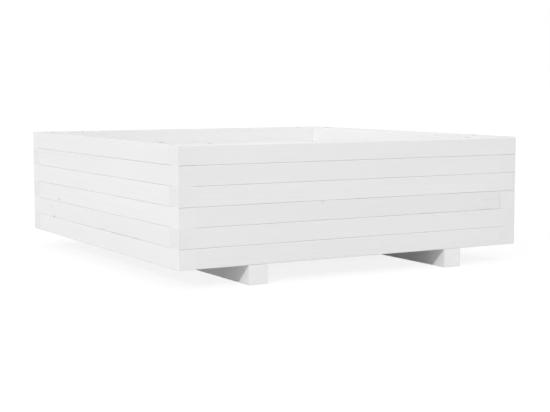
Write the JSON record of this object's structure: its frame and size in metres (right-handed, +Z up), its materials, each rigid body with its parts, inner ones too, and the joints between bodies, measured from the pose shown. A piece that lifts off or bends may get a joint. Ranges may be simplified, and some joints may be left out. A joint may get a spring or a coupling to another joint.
{
  "type": "raised bed planter",
  "caption": "Square white raised bed planter of stacked softwood bars with interleaved corners, open on top, with a slatted floor on two runners.",
  "frame": {"origin": "middle of the footprint, at the underside of the runners", "axes": "+Z up; +X along the front wall, to the right as seen from the front; +Y from the front wall to the back"},
  "size_m": [0.8, 0.8, 0.2695],
  "materials": {
    "white_painted_pine": "matt white opaque paint over planed softwood, grain and knots just showing",
    "screw_steel": "zinc-plated countersunk wood screws",
    "beech": "bare turned beech"
  },
  "bodies": {
    "root": {"front_bar_1": "white_painted_pine", "front_bar_2": "white_painted_pine", "front_bar_3": "white_painted_pine", "front_bar_4": "white_painted_pine", "front_bar_5": "white_painted_pine", "front_bar_6": "white_painted_pine", "right_bar_1": "white_painted_pine", "right_bar_2": "white_painted_pine", "right_bar_3": "white_painted_pine", "right_bar_4": "white_painted_pine", "right_bar_5": "white_painted_pine", "right_bar_6": "white_painted_pine", "back_bar_1": "white_painted_pine", "back_bar_2": "white_painted_pine", "back_bar_3": "white_painted_pine", "back_bar_4": "white_painted_pine", "back_bar_5": "white_painted_pine", "back_bar_6": "white_painted_pine", "left_bar_1": "white_painted_pine", "left_bar_2": "white_painted_pine", "left_bar_3": "white_painted_pine", "left_bar_4": "white_painted_pine", "left_bar_5": "white_painted_pine", "left_bar_6": "white_painted_pine", "runner_left": "white_painted_pine", "runner_right": "white_painted_pine", "floor_slat_1": "white_painted_pine", "floor_slat_2": "white_painted_pine", "floor_slat_3": "white_painted_pine", "floor_slat_4": "white_painted_pine", "floor_slat_5": "white_painted_pine", "floor_slat_6": "white_painted_pine", "floor_slat_7": "white_painted_pine", "rim_screws": "screw_steel", "course_screws_2": "screw_steel", "course_screws_3": "screw_steel", "course_screws_4": "screw_steel", "course_screws_5": "screw_steel", "runner_screws": "screw_steel", "floor_screws": "screw_steel", "front_left_dowels": "beech", "front_right_dowels": "beech", "back_right_dowels": "beech", "back_left_dowels": "beech"}
  },
  "joints": []
}
